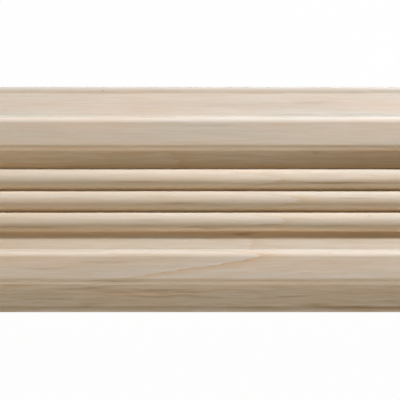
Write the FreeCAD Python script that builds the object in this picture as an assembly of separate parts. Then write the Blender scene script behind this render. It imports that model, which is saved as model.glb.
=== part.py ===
import FreeCAD
import Part
import math
import os

# Architrave moulding: one length of pale hardwood run through a moulder to a symmetrical section.
# It lies on its flat back. X runs along the length, Y across the width and Z out of the face.
# From each long edge inwards the face has a narrow fillet with an eased arris, an outer slope, a raised
# band whose rounded edges stand on a short riser with a small cove at its foot, and an inner slope. Round
# reeds fill the sunk middle, parted by quirks.

Vector = FreeCAD.Vector

# Driving dimensions, in millimetres
stock_length = 1219.2
band_height = 19.05

edge_fillet_width = 2.45
edge_arris_width = 1.6
edge_arris_radius = 2.9

outer_slope_width = 8.9
outer_slope_drop = 2.65

band_width = 13.3
band_round_radius = 2.7
band_riser = 0.75
band_foot_radius = 0.55

inner_slope_width = 7.0
inner_slope_drop = 1.05

reed_count = 3
reed_width = 8.2
reed_rise = 2.6
quirk_width = 0.25

# Levels above the back
band_round_height = band_height - band_round_radius
band_foot_height = band_round_height - band_riser
quirk_height = band_foot_height - inner_slope_drop
edge_fillet_height = band_foot_height - outer_slope_drop

# Distances from the centreline
reed_pitch = reed_width + quirk_width
reed_field_half = (reed_count * reed_pitch + quirk_width) / 2
band_inner = reed_field_half + inner_slope_width
band_outer = band_inner + band_width
slope_end = band_outer + outer_slope_width
moulding_half = slope_end + edge_fillet_width


def point(y, z):
    return Vector(0, y, z)


def line(start, end):
    return Part.LineSegment(start, end).toShape()


def quarter_round(centre_y, centre_z, radius, facing):
    """A convex quarter circle from its crown to its side, which faces outwards (1) or inwards (-1)."""
    diagonal = radius * 2 ** -0.5
    crown = point(centre_y, centre_z + radius)
    middle = point(centre_y + facing * diagonal, centre_z + diagonal)
    side = point(centre_y + facing * radius, centre_z)
    return Part.Arc(crown, middle, side).toShape()


def foot_cove(corner, far_end):
    """The cove in a corner between a riser and the slope that leads off to far_end, from riser to slope."""
    riser_way = Vector(0, 0, 1)
    slope_way = (far_end - corner).normalize()
    half_angle = riser_way.getAngle(slope_way) / 2
    centre_way = (riser_way + slope_way).normalize()
    reach = band_foot_radius / math.tan(half_angle)
    middle_reach = band_foot_radius / math.sin(half_angle) - band_foot_radius
    return corner + riser_way * reach, corner + centre_way * middle_reach, corner + slope_way * reach


def edge_arris():
    """The eased arris: an arc that leaves the fillet level and stops where it meets the side."""
    centre = point(moulding_half - edge_arris_width, edge_fillet_height - edge_arris_radius)
    sweep = math.asin(edge_arris_width / edge_arris_radius)
    turns = (0, sweep / 2, sweep)
    return [centre + point(math.sin(turn), math.cos(turn)) * edge_arris_radius for turn in turns]


def band_and_edge():
    """The outline of one side, from the outermost quirk over the band and down to the back."""
    inner_quirk = point(reed_field_half, quirk_height)
    inner_riser, inner_cove, inner_slope = foot_cove(point(band_inner, band_foot_height), inner_quirk)
    fillet = point(slope_end, edge_fillet_height)
    outer_riser, outer_cove, outer_slope = foot_cove(point(band_outer, band_foot_height), fillet)
    arris_top, arris_middle, arris_side = edge_arris()
    inner_round_y = band_inner + band_round_radius
    outer_round_y = band_outer - band_round_radius
    return [
        line(inner_quirk, inner_slope),
        Part.Arc(inner_slope, inner_cove, inner_riser).toShape(),
        line(inner_riser, point(band_inner, band_round_height)),
        quarter_round(inner_round_y, band_round_height, band_round_radius, -1),
        line(point(inner_round_y, band_height), point(outer_round_y, band_height)),
        quarter_round(outer_round_y, band_round_height, band_round_radius, 1),
        line(point(band_outer, band_round_height), outer_riser),
        Part.Arc(outer_riser, outer_cove, outer_slope).toShape(),
        line(outer_slope, fillet),
        line(fillet, arris_top),
        Part.Arc(arris_top, arris_middle, arris_side).toShape(),
        line(arris_side, point(moulding_half, 0)),
    ]


def reeds():
    """The outline of the sunk middle: a quirk and a reed's arc in turn, then the last quirk."""
    outline = []
    y = -reed_field_half
    for _ in range(reed_count):
        foot = y + quirk_width
        outline.append(line(point(y, quirk_height), point(foot, quirk_height)))
        crown = point(foot + reed_width / 2, quirk_height + reed_rise)
        y = foot + reed_width
        outline.append(Part.Arc(point(foot, quirk_height), crown, point(y, quirk_height)).toShape())
    outline.append(line(point(y, quirk_height), point(reed_field_half, quirk_height)))
    return outline


def architrave_moulding():
    """The section's closed outline, run along the whole length and centred on it."""
    one_side = band_and_edge()
    other_side = [edge.mirror(Vector(0, 0, 0), Vector(0, 1, 0)) for edge in one_side]
    back = line(point(-moulding_half, 0), point(moulding_half, 0))
    outline = Part.Wire(Part.__sortEdges__(one_side + reeds() + other_side + [back]))
    moulding = Part.Face(outline).extrude(Vector(stock_length, 0, 0))
    moulding.translate(Vector(-stock_length / 2, 0, 0))
    return moulding


os.makedirs("parts", exist_ok=True)
moulding = architrave_moulding()
moulding.exportStep("parts/architrave_moulding.step")
box = moulding.BoundBox
print(f"architrave moulding {box.XLength:.1f} x {box.YLength:.2f} x {box.ZLength:.2f} mm")
print(f"edge fillet {edge_fillet_height:.2f} mm and quirks {quirk_height:.2f} mm above the back")
print(f"volume {moulding.Volume / 1e9:.6f} m3, valid {moulding.isValid()}")
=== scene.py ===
import math

import bmesh
import bpy
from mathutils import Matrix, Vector


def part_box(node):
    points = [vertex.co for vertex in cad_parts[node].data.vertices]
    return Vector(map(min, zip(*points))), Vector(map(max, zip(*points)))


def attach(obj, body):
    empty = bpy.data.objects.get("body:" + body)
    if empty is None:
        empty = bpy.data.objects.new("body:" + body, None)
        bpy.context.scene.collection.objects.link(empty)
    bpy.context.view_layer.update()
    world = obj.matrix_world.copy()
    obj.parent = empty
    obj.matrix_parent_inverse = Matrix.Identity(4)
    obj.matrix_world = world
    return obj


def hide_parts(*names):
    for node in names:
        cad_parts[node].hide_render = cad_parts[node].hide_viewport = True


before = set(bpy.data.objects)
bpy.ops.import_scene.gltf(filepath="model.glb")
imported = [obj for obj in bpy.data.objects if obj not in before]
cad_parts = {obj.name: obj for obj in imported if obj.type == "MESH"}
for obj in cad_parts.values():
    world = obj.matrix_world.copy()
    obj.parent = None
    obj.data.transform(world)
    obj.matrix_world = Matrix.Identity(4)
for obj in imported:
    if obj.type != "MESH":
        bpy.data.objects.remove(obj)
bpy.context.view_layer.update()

# The moulding is one length of pale, unfinished hardwood. Shaped knives cut its whole section in one
# pass: two raised bands with rounded edges, shallow slopes on both sides of them, and three round reeds
# in the sunk middle. The ends are sawn square, and the back is planed flat to lie on a wall.
mm = 0.001
stock_low, stock_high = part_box("architrave_moulding")
band_height = stock_high.z
edge_fillet_width = 2.45 * mm
edge_arris_width = 1.6 * mm
edge_arris_radius = 2.9 * mm
outer_slope_width = 8.9 * mm
outer_slope_drop = 2.65 * mm
band_width = 13.3 * mm
band_round_radius = 2.7 * mm
band_riser = 0.75 * mm
band_foot_radius = 0.55 * mm
inner_slope_width = 7.0 * mm
inner_slope_drop = 1.05 * mm
reed_count = 3
reed_width = 8.2 * mm
reed_rise = 2.6 * mm
quirk_width = 0.25 * mm

band_round_height = band_height - band_round_radius
band_foot_height = band_round_height - band_riser
quirk_height = band_foot_height - inner_slope_drop
edge_fillet_height = band_foot_height - outer_slope_drop
reed_pitch = reed_width + quirk_width
reed_field_half = (reed_count * reed_pitch + quirk_width) / 2
band_inner = reed_field_half + inner_slope_width
band_outer = band_inner + band_width
slope_end = band_outer + outer_slope_width
moulding_half = slope_end + edge_fillet_width

saw_ease = 0.15 * mm
station_gap = 60 * mm
round_step = 4
cove_step = 8
crease_angle = 12
sawn_end_index = 1


def arc(centre_y, centre_z, radius, start, end, step=round_step):
    """Points (y, z) of an arc, its angles in degrees from the +Y side upwards."""
    count = math.ceil(abs(end - start) / step)
    angles = [math.radians(start + (end - start) * k / count) for k in range(count + 1)]
    return [(centre_y + radius * math.cos(a), centre_z + radius * math.sin(a)) for a in angles]


def foot_cove(corner_y, far_y, far_z):
    """The cove between a riser and the slope that leads off to a far point, from the slope's side."""
    across, fall = far_y - corner_y, band_foot_height - far_z
    slope = math.atan2(fall, abs(across))
    away = math.copysign(1, across)
    reach = band_foot_radius * math.tan((math.pi / 2 - slope) / 2)
    centre_y, centre_z = corner_y + away * band_foot_radius, band_foot_height + reach
    slope_angle = -90 - away * math.degrees(slope)
    riser_angle = -180 if away > 0 else 0
    return arc(centre_y, centre_z, band_foot_radius, slope_angle, riser_angle, cove_step)


def side_outline():
    """The section's right half, from the back's corner up over the band to the outermost quirk."""
    outer_round_y = band_outer - band_round_radius
    inner_round_y = band_inner + band_round_radius
    arris_y = moulding_half - edge_arris_width
    arris_z = edge_fillet_height - edge_arris_radius
    arris_start = math.degrees(math.acos(edge_arris_width / edge_arris_radius))
    points = [(moulding_half, 0)]
    points += arc(arris_y, arris_z, edge_arris_radius, arris_start, 90)
    points += [(slope_end, edge_fillet_height)]
    points += foot_cove(band_outer, slope_end, edge_fillet_height)
    points += arc(outer_round_y, band_round_height, band_round_radius, 0, 90)
    points += arc(inner_round_y, band_round_height, band_round_radius, 90, 180)
    points += reversed(foot_cove(band_inner, reed_field_half, quirk_height))
    points += [(reed_field_half, quirk_height)]
    return points


def reed_outline():
    """The reeds from right to left, each a low arc between two quirks."""
    half_width = reed_width / 2
    radius = (half_width ** 2 + reed_rise ** 2) / (2 * reed_rise)
    side = 90 - math.degrees(math.asin(half_width / radius))
    points = []
    for k in range(reed_count):
        middle = reed_field_half - quirk_width - half_width - k * reed_pitch
        points += arc(middle, quirk_height + reed_rise - radius, radius, side, 180 - side)
    return points


def shrunk(outline, distance):
    """The closed outline, which runs anticlockwise, moved inwards by a small distance."""
    moved = []
    for k, point in enumerate(outline):
        before = Vector(outline[k - 1])
        after = Vector(outline[(k + 1) % len(outline)])
        along = (after - before).normalized()
        moved.append((point[0] - along.y * distance, point[1] + along.x * distance))
    return moved


def moulding_mesh():
    """The section run along the length, with the saw's sharp edges eased at both ends."""
    right = side_outline()
    outline = right + reed_outline() + [(-y, z) for y, z in reversed(right)]
    eased = shrunk(outline, saw_ease)
    first, last = stock_low.x + saw_ease, stock_high.x - saw_ease
    count = math.ceil((last - first) / station_gap)
    stations = [(stock_low.x, eased)]
    stations += [(first + (last - first) * k / count, outline) for k in range(count + 1)]
    stations += [(stock_high.x, eased)]
    bm = bmesh.new()
    rings = [[bm.verts.new((x, y, z)) for y, z in points] for x, points in stations]
    for ring, following in zip(rings, rings[1:]):
        for k in range(len(ring)):
            bm.faces.new((ring[k - 1], ring[k], following[k], following[k - 1]))
    ends = [bm.faces.new(rings[0]), bm.faces.new(rings[-1])]
    for face in bm.faces:
        face.smooth = True
    for face in bmesh.ops.triangulate(bm, faces=ends, ngon_method="EAR_CLIP")["faces"]:
        face.material_index = sawn_end_index
        face.smooth = False
    bmesh.ops.recalc_face_normals(bm, faces=bm.faces)
    mesh = bpy.data.meshes.new("moulded_stock")
    bm.to_mesh(mesh)
    bm.free()
    mesh.set_sharp_from_angle(angle=math.radians(crease_angle))
    return mesh


moulding = bpy.data.objects.new("moulded_stock", moulding_mesh())
bpy.context.scene.collection.objects.link(moulding)
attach(moulding, "root")
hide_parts("architrave_moulding")


class Shade:
    """A socket of a material. Sums on it add Math nodes."""

    def __init__(self, socket):
        self.socket = socket

    def add(self, kind, settings, sockets, output=0):
        """Any node: its settings are set first, then the values or links of its sockets."""
        tree = self.socket.id_data
        node = tree.nodes.new(kind)
        for name, value in settings.items():
            setattr(node, name, value)
        for key, value in sockets.items():
            if isinstance(value, Shade):
                tree.links.new(value.socket, node.inputs[key])
            else:
                node.inputs[key].default_value = value
        return Shade(node.outputs[output])

    def math(self, operation, *values):
        return self.add("ShaderNodeMath", {"operation": operation}, dict(enumerate(values)))

    def alone(self, operation):
        """A Math node that takes only this value, such as its size without the sign."""
        return self.math(operation, self)

    def __add__(self, other):
        return self.math("ADD", self, other)

    def __radd__(self, other):
        return self.math("ADD", other, self)

    def __sub__(self, other):
        return self.math("SUBTRACT", self, other)

    def __rsub__(self, other):
        return self.math("SUBTRACT", other, self)

    def __mul__(self, other):
        return self.math("MULTIPLY", self, other)

    def __rmul__(self, other):
        return self.math("MULTIPLY", other, self)

    def __truediv__(self, other):
        return self.math("DIVIDE", self, other)

    def __rtruediv__(self, other):
        return self.math("DIVIDE", other, self)

    def __pow__(self, other):
        return self.math("POWER", self, other)


def new_material(name):
    """A material, its finished shader, and a place on the surface in millimetres."""
    material = bpy.data.materials.new(name)
    material.use_nodes = True
    tree = material.node_tree
    shader = tree.nodes["Principled BSDF"]
    coordinates = tree.nodes.new("ShaderNodeTexCoord")
    metres = Shade(coordinates.outputs["Object"])
    place = metres.add("ShaderNodeVectorMath", {"operation": "SCALE"}, {0: metres, 3: 1 / mm})
    return material, shader, place


def axis(place, name):
    return place.add("ShaderNodeSeparateXYZ", {}, {0: place}, "XYZ".index(name))


def ramp(value, low, high):
    """0 up to low, 1 from high, and a smooth rise between them."""
    settings = {"interpolation_type": "SMOOTHSTEP"}
    return value.add("ShaderNodeMapRange", settings, {"Value": value, "From Min": low, "From Max": high})


def between(value, start, full, fade, end):
    """Rises from start to full and falls from fade to end."""
    return ramp(value, start, full) * (1.0 - ramp(value, fade, end))


def cloud(place, along, across, seed, detail=2.0):
    """Noise about 0, in patches of these lengths along and across the grain, in millimetres."""
    size = (1 / along, 1 / across, 1 / across)
    shift = (seed, 2.3 * seed, 3.7 * seed)
    settings = {"operation": "MULTIPLY_ADD"}
    spot = place.add("ShaderNodeVectorMath", settings, {0: place, 1: size, 2: shift})
    sockets = {"Vector": spot, "Scale": 1.0, "Detail": detail, "Roughness": 0.55}
    return place.add("ShaderNodeTexNoise", {}, sockets) - 0.5


def blend(factor, start, end):
    """One colour turning into another."""
    settings = {"data_type": "RGBA"}
    return factor.add("ShaderNodeMix", settings, {0: factor, 6: start, 7: end}, 2)


def tinted(colour, factor, end, start=(1, 1, 1, 1)):
    """The colour times a tint that turns from start, by default none, to end."""
    settings = {"data_type": "RGBA", "blend_type": "MULTIPLY"}
    return factor.add("ShaderNodeMix", settings, {0: 1.0, 6: colour, 7: blend(factor, start, end)}, 2)


def shifted(place, aside):
    """The place moved across the grain."""
    across = place.add("ShaderNodeCombineXYZ", {}, {"Y": aside})
    return place.add("ShaderNodeVectorMath", {"operation": "ADD"}, {0: place, 1: across})


def surfaced(shader, colour, rough, height, relief, gloss):
    """Gives a wood surface its colour, roughness, relief and gloss."""
    sockets = {"Strength": 1.0, "Distance": relief, "Height": height}
    bump = height.add("ShaderNodeBump", {}, sockets)
    for name, value in (("Base Color", colour), ("Roughness", rough), ("Normal", bump)):
        shader.id_data.links.new(value.socket, shader.inputs[name])
    shader.inputs["Specular IOR Level"].default_value = gloss


# Growth rings, in millimetres. The pith ran above the face and a little to one side, and slowly away
# from it along the length, so the rings cut the face in long points. One ring's edge stands out from
# the rest on the raised bands, and the rings next to it show a little in the sunk middle.
pith_y = -1.0
pith_height = 102.0
run_out = 0.047
middle_ring = 86.8
ring_gap = 1.852
ring_start = 0.364
ring_swing = 0.39
swing_rate = 0.8
swing_start = 1.2
faint_ring = 0.03
sunk_level = 15.6
raised_level = 16.4


def ring_strength(edge, peak, fall):
    """How much a ring's edge shows: ring 0 most, and those on both sides of it less and less."""
    return faint_ring + peak / (1 + fall * edge * edge)


def growth_rings(place):
    """How far a spot is through its ring, 0 at one edge and 1 at the next, and the edge's strength."""
    x, y, z = [axis(place, name) for name in "XYZ"]
    across = y - pith_y
    down = pith_height - z
    depth = (across * across + down * down) ** 0.5
    sway = cloud(place, 240, 45, 3.1) + cloud(place, 40, 8, 7.7) * 0.4
    sway = sway + cloud(place, 30, 0.6, 9.4, 3.0) * 0.45
    level = middle_ring + sway - depth - x * run_out
    turn = level * swing_rate + swing_start
    count = level / ring_gap + turn.alone("SINE") * ring_swing - ring_start
    edge = count.alone("ROUND")
    beside_reeds = ramp(y.alone("ABSOLUTE"), 12.5, 13.5)
    raised_strength = ring_strength(edge, 0.97, 8) * (0.5 + 0.5 * beside_reeds)
    sunk_edge = edge + 2.0 - ramp(y, -1.0, 1.0)
    sunk_strength = ring_strength(sunk_edge, 0.27, 6)
    sunk = 1 - ramp(z, sunk_level, raised_level)
    return count.alone("FRACT"), raised_strength + sunk * (sunk_strength - raised_strength)


# The planed wood's own colours: plain and warmer wood, the pale wood at the start of a ring, the tan
# wood towards its end, and the thin brown line where its growth stopped for the winter.
plain_wood = (0.698, 0.63, 0.548, 1)
warm_wood = (0.735, 0.618, 0.512, 1)
early_wood = (0.735, 0.665, 0.61, 1)
late_wood = (0.69, 0.535, 0.385, 1)
winter_wood = (0.64, 0.49, 0.35, 1)


def ring_colour(place):
    """Wood with a pale and a tan side at each ring's sharp edge, and creamier in the sunk middle."""
    y = axis(place, "Y")
    through, strength = growth_rings(place)
    patch = ramp(cloud(place, 90, 9, 1.9), -0.22, 0.12)
    contrast = strength * (0.4 + 0.7 * patch) * (1.0 - ramp(y, 19.0, 22.0))
    warm = ramp(cloud(place, 70, 5, 2.7, 3.0), -0.2, 0.2)
    colour = blend(warm, plain_wood, warm_wood)
    colour = blend((1.0 - ramp(through, 0.02, 0.4)) * contrast, colour, early_wood)
    colour = blend(ramp(through, 0.4, 1.0) * contrast, colour, late_wood)
    colour = blend(ramp(through, 0.88, 0.965) * contrast, colour, winter_wood)
    outer = ramp(y.alone("ABSOLUTE"), 14.0, 32.0)
    return tinted(colour, outer, (0.99, 1.005, 1.035, 1), (1.0, 0.99, 0.97, 1))


def fibre_colour(place, colour, fibre, hair):
    """Fine streaks of fibre, coarser on two of the slopes, and brown flecks towards the -Y edge."""
    y = axis(place, "Y")
    lower = ramp(0 - y, 30.0, 36.0)
    coarse = 1.1 + 0.9 * lower + 0.8 * ramp(y, 12.0, 14.0) - 0.9 * ramp(y, 19.0, 21.0)
    streak = ramp((fibre * 0.75 + hair * 0.45) * coarse, -0.4, 0.4)
    colour = tinted(colour, streak, (1.06, 1.08, 1.13, 1), (0.91, 0.87, 0.80, 1))
    fleck = ramp(cloud(place, 22, 1.5, 4.3), 0.0, 0.3) * (0.1 + 0.9 * ramp(0 - y, 28.0, 36.0))
    return tinted(colour, fleck, (0.78, 0.70, 0.60, 1))


# Marks in the fibre of this length, each list from the +Y edge to the other one: lenses, two small
# specks, and long streaks of darker and of paler wood. Many of the long streaks are not wood but painted
# shade and painted light along the quirks, the reeds' lit top lines, the bands' rounded edges and the
# shaded slopes. They also darken the lit faces towards -X and the shaded faces towards +X, and lighten
# the shaded faces towards -X. Each mark has its middle along and across, half its length and half its
# width, in millimetres, and its strength.
dark_lenses = [
    (45.4, 38.6, 14.0, 1.1, 0.25), (2.0, 29.4, 18.0, 0.4, 0.35), (45.8, 18.7, 2.5, 0.9, 0.25),
    (-25.7, 7.4, 20.0, 0.6, 0.35), (54.0, 6.9, 21.0, 0.55, 0.75), (60.6, 0.7, 12.0, 0.5, 0.35),
    (-7.9, -1.2, 11.0, 0.6, 0.4), (-19.2, -8.0, 12.0, 0.9, 0.2), (25.0, -9.6, 15.0, 0.5, 0.35),
    (-67.0, -10.6, 26.0, 0.8, 0.45), (1.0, -10.7, 13.0, 0.5, 0.35), (4.0, -11.2, 7.0, 0.3, 0.6),
    (16.6, -13.4, 6.5, 1.0, 0.6), (-37.0, -24.3, 18.0, 1.0, 0.25), (-60.4, -26.9, 18.0, 1.0, 0.25),
    (-36.0, -31.9, 16.0, 0.4, 0.25), (-17.0, -35.3, 13.0, 0.8, 0.45), (-37.9, -35.8, 12.0, 0.7, 0.25),
    (5.0, -38.6, 9.0, 0.7, 0.35), (-56.7, -39.3, 10.0, 0.7, 0.3),
]
specks = [
    (-38.3, 43.1, 0.7, 0.5, 0.6), (66.8, -6.2, 0.6, 0.5, 0.5),
]
# Mostly painted shade: over the reeds' lit top lines and the lamp-side highlight, in the shadow beside
# the lowest reed, by the -Y edge, and over the lit faces towards -X and the shaded ones towards +X. A
# few are darker wood.
dark_wood_and_painted_shade = [
    (-90.0, 37.8, 42.0, 6.0, 0.09), (25.0, 37.4, 75.0, 2.0, 0.13), (60.0, 33.3, 80.0, 0.7, 0.2),
    (110.0, 17.0, 100.0, 9.0, 0.36), (0.0, 12.35, 700.0, 0.5, 0.22), (90.0, 12.3, 75.0, 0.5, 0.35),
    (-90.0, 11.5, 60.0, 1.9, 0.22), (75.0, 3.55, 90.0, 0.55, 0.5), (95.0, -4.85, 50.0, 0.45, 0.45),
    (-95.0, -6.2, 85.0, 2.2, 0.14), (85.0, -14.1, 65.0, 1.6, 0.38), (-90.0, -17.0, 45.0, 3.0, 0.13),
    (92.0, -19.6, 45.0, 0.7, 0.16), (95.0, -37.8, 42.0, 6.0, 0.12), (85.0, -42.8, 65.0, 1.4, 0.5),
]
# Mostly painted light: in the quirk between the top two reeds and beside the lowest reed, on the bands'
# rounded edges that face -Y, on a reed's -Y flank, and on the shaded faces towards -X. A few are paler
# wood.
pale_wood_and_painted_light = [
    (0.0, 42.4, 700.0, 0.9, 0.5), (0.0, 21.8, 700.0, 0.7, 0.6), (-100.0, 16.2, 110.0, 5.0, 0.8),
    (-90.0, 13.8, 60.0, 1.0, 0.5), (20.0, 8.8, 95.0, 1.5, 0.7), (16.0, 7.4, 16.0, 0.7, 0.4),
    (20.0, 5.4, 90.0, 0.8, 0.25), (0.0, 4.3, 700.0, 0.45, 0.5), (0.0, 0.6, 70.0, 0.8, 0.2),
    (15.0, -11.6, 75.0, 0.9, 0.8), (-60.0, -12.8, 90.0, 0.8, 0.6), (0.0, -31.3, 700.0, 0.7, 0.55),
    (-90.0, -34.6, 50.0, 1.6, 0.45), (-20.0, -37.4, 30.0, 1.4, 0.5),
]
mark_level = 16.0
mark_height = 10.0
dark_tint = (0.60, 0.48, 0.35, 1)
pale_tint = (1.2, 1.2, 1.2, 1)


def fibre_marks(place, marks):
    """The strength of a group of marks, each fading from near its middle to its edge."""
    total = None
    for along, across, half_length, half_width, strength in marks:
        size = (1 / half_length, 1 / half_width, 1 / mark_height)
        shift = (-along / half_length, -across / half_width, -mark_level / mark_height)
        settings = {"operation": "MULTIPLY_ADD"}
        spot = place.add("ShaderNodeVectorMath", settings, {0: place, 1: size, 2: shift})
        distance = place.add("ShaderNodeVectorMath", {"operation": "LENGTH"}, {0: spot}, "Value")
        mark = (1 - ramp(distance, 0.2, 1.0)) * strength
        total = mark if total is None else total + mark
    return total


def light_and_wear_colour(place, colour):
    """Painted shade and light on the quirks, flanks and bands, a tan stripe, and bleached long edges."""
    y = axis(place, "Y")
    z = axis(place, "Z")
    aside = y.alone("ABSOLUTE")
    facing = axis(place.add("ShaderNodeTexCoord", {}, {}, "Normal"), "Y")
    away = 0 - facing

    # Painted shade: the quirks and the reeds' -Y flanks next to them are painted browner and darker, for
    # the shade and warm bounced light deep between the reeds.
    quirk_shade = between(z, 13.5, 14.3, 14.6, 15.2) * (1.0 - ramp(aside, 13.4, 15.5))
    colour = tinted(colour, quirk_shade * ramp(away, -0.5, 0.2), (0.93, 0.81, 0.65, 1))

    # Painted shade: upright faces on the +Y side, which face the low lamp, are painted duller to tone
    # down their highlight.
    lamp_side_shade = ramp(facing, 0.75, 0.97) * (0.7 + 0.3 * ramp(y, -10.0, 10.0))
    colour = tinted(colour, lamp_side_shade, (0.74, 0.78, 0.79, 1))

    # Painted light: steep faces on the -Y side, which are in shade, are painted paler, and so are both
    # raised bands and the lit slope beside the lower one.
    shaded_side_light = between(away, 0.55, 0.8, 0.9, 0.98)
    colour = tinted(colour, shaded_side_light, (1.055, 1.05, 1.045, 1))
    band_light = between(0 - y, 12.6, 13.2, 32.6, 33.4) + between(y, 19.4, 20.2, 30.5, 31.8)
    colour = tinted(colour, band_light, (1.03, 1.02, 1.015, 1))

    # A faint tan stripe runs along the +Y slope, and the long edges are a little bleached.
    tan_stripe = between(y, 34.0, 36.5, 37.5, 41.0)
    colour = tinted(colour, tan_stripe, (1.0, 0.96, 0.945, 1))
    return tinted(colour, ramp(aside, 42.3, 43.6), (0.99, 1.03, 1.07, 1))


def face_grain():
    """Planed long grain: rings, fibre, marks and painted shade and light, with the shallow ripple that
    turning knives leave.
    """
    material, shader, place = new_material("planed_long_grain")
    wave = cloud(place, 13, 5, 2.4) * 2.4
    bent = shifted(place, wave)
    fibre = cloud(bent, 24, 0.9, 5.3, 4.0)
    hair = cloud(bent, 8, 0.3, 8.1, 3.0)
    frayed = shifted(place, wave * 0.4 + fibre * 0.7 + hair * 0.4)
    colour = fibre_colour(place, ring_colour(place), fibre, hair)
    colour = tinted(colour, fibre_marks(frayed, pale_wood_and_painted_light), pale_tint)
    colour = tinted(colour, fibre_marks(frayed, dark_lenses + specks + dark_wood_and_painted_shade), dark_tint)
    colour = light_and_wear_colour(place, colour)

    ripple_pitch = 1.6
    turn = axis(place, "X") * (math.tau / ripple_pitch)
    ripple = turn.alone("SINE") * ramp(cloud(place, 30, 12, 6.6), 0.0, 0.25)
    height = fibre * 0.5 + hair * 0.35 + ripple * 0.12
    surfaced(shader, colour, 0.64 + fibre * 0.15, height, relief=0.02 * mm, gloss=0.1)
    return material


# The sawn ends' colours, darker than the face: plain wood, late wood, open pores and saw fur.
sawn_wood = (0.50, 0.385, 0.27, 1)
sawn_late_wood = (0.37, 0.26, 0.165, 1)
sawn_pore = (0.27, 0.185, 0.115, 1)
saw_fur = (0.58, 0.46, 0.34, 1)


def end_grain():
    """A sawn end: the rings as arcs, open pores, darker than the face and furry from the saw."""
    material, shader, place = new_material("sawn_end_grain")
    through, strength = growth_rings(place)
    late = ramp(through, 0.35, 1.0) * (0.4 + 0.6 * strength)
    pores = ramp(cloud(place, 5, 0.35, 2.2), -0.05, 0.22)
    saw = cloud(place, 5, 2.5, 6.1, 4.0)
    colour = blend(late, sawn_wood, sawn_late_wood)
    colour = blend(pores * 0.35, colour, sawn_pore)
    colour = blend(ramp(saw, -0.2, 0.25) * 0.25, colour, saw_fur)
    height = saw * 0.6 - pores * 0.4
    surfaced(shader, colour, 0.8 + pores * 0.1, height, relief=0.12 * mm, gloss=0.2)
    return material


moulding.data.materials.append(face_grain())
moulding.data.materials.append(end_grain())

# The floor is a wide pale sheet that the moulding lies on. It shows as white to the camera, with a
# light shadow beside the wood, and its own paint is a pale matt grey that throws light back.
floor_size = 40.0
floor_gap = 0.05 * mm
floor_whiteness = 0.98
bpy.ops.mesh.primitive_plane_add(size=floor_size, location=(0, 0, stock_low.z - floor_gap))
floor = bpy.context.object
floor.name = "floor"


def seen_directly(tree):
    """1 for rays that show the backdrop itself, straight, mirrored or through glass."""
    paths = tree.nodes.new("ShaderNodeLightPath")
    names = ("Is Camera Ray", "Is Glossy Ray", "Is Transmission Ray")
    straight, mirrored, through = [Shade(paths.outputs[name]) for name in names]
    return straight.math("MAXIMUM", straight.math("MAXIMUM", straight, mirrored), through)


def white_floor():
    """Pale grey paint that mostly gives way to plain white where it is seen directly."""
    material = bpy.data.materials.new("pale_floor")
    material.use_nodes = True
    tree = material.node_tree
    shader = tree.nodes["Principled BSDF"]
    shader.inputs["Base Color"].default_value = (0.8, 0.8, 0.8, 1)
    shader.inputs["Roughness"].default_value = 0.9
    shader.inputs["Specular IOR Level"].default_value = 0.1
    whitened = seen_directly(tree) * floor_whiteness
    glow = whitened.add("ShaderNodeEmission", {}, {"Color": (1, 1, 1, 1), "Strength": 1.0})
    painted = Shade(shader.outputs[0])
    mixed = whitened.add("ShaderNodeMixShader", {}, {0: whitened, 1: painted, 2: glow})
    tree.links.new(mixed.socket, tree.nodes["Material Output"].inputs["Surface"])
    return material


floor.data.materials.append(white_floor())

# The light is a long narrow lamp low beside the +Y edge, so that the reeds and bands cast crisp shadows,
# and a small one with a narrow beam over its +X half. A broad warm light hangs overhead, a reflector
# stands low on the other side, and a little light comes from all round.
face_middle = Vector((0, 0, edge_fillet_height))
strip_angle = 69.2
strip_distance = 0.6
strip_width = 0.055
long_lamp = 2.4


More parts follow.
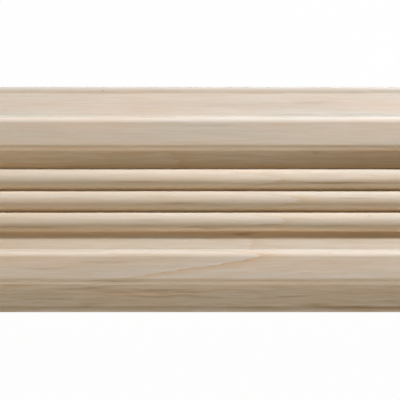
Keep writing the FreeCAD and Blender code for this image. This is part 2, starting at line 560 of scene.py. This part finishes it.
def lamp(name, from_vertical, distance, length, width, watts, colour, middle_x=0.0, beam=180):
    """A straight lamp beside the moulding, turned to it. from_vertical is in degrees towards +Y."""
    angle = math.radians(from_vertical)
    light = bpy.data.lights.new(name, "AREA")
    light.shape = "RECTANGLE"
    light.size = length
    light.size_y = width
    light.energy = watts
    light.color = colour
    light.spread = math.radians(beam)
    placed = bpy.data.objects.new(name, light)
    offset = Vector((middle_x, distance * math.sin(angle), distance * math.cos(angle)))
    placed.location = face_middle + offset
    placed.rotation_euler = (-angle, 0, 0)
    placed.visible_camera = False
    bpy.context.scene.collection.objects.link(placed)


lamp("strip_lamp", strip_angle, strip_distance, long_lamp, strip_width,
     watts=9.75, colour=(0.99, 0.985, 0.98))
lamp("small_strip_lamp", strip_angle, strip_distance, 0.2, strip_width,
     watts=0.21, colour=(0.6, 0.79, 1.0), middle_x=0.2, beam=60)
lamp("warm_room_light", from_vertical=-28, distance=0.7, length=long_lamp, width=0.5,
     watts=3.8, colour=(1.0, 0.83, 0.575))
lamp("low_reflector", from_vertical=-78, distance=0.5, length=long_lamp, width=0.2,
     watts=1.88, colour=(1.0, 0.99, 0.965))

world = bpy.data.worlds.new("studio")
bpy.context.scene.world = world
world.use_nodes = True
sky = world.node_tree
ambient = sky.nodes["Background"]
ambient.inputs["Color"].default_value = (1.0, 0.9, 0.75, 1)
ambient.inputs["Strength"].default_value = 0.01
seen = seen_directly(sky)
backdrop = seen.add("ShaderNodeBackground", {}, {"Color": (1, 1, 1, 1), "Strength": 1.0})
mixed_sky = seen.add("ShaderNodeMixShader", {}, {0: seen, 1: Shade(ambient.outputs[0]), 2: backdrop})
sky.links.new(mixed_sky.socket, sky.nodes["World Output"].inputs["Surface"])

# The camera looks almost straight down on the moulded face from far off. The two ends of the moulding
# run out of the picture, and its long edges lie level in it.
view_width = 158.0 * mm
focal_length = 500.0
sensor_width = 36.0
camera_lean = math.radians(1.97)
aim = Vector((0, -0.05 * mm, edge_fillet_height))
camera_data = bpy.data.cameras.new("camera")
camera_data.lens = focal_length
camera_data.sensor_width = sensor_width
camera = bpy.data.objects.new("camera", camera_data)
camera_distance = view_width * focal_length / sensor_width
camera.location = aim + camera_distance * Vector((0, math.sin(camera_lean), math.cos(camera_lean)))
camera.rotation_euler = (-camera_lean, 0, 0)
bpy.context.scene.collection.objects.link(camera)
bpy.context.scene.camera = camera
bpy.context.scene.view_settings.view_transform = "Standard"
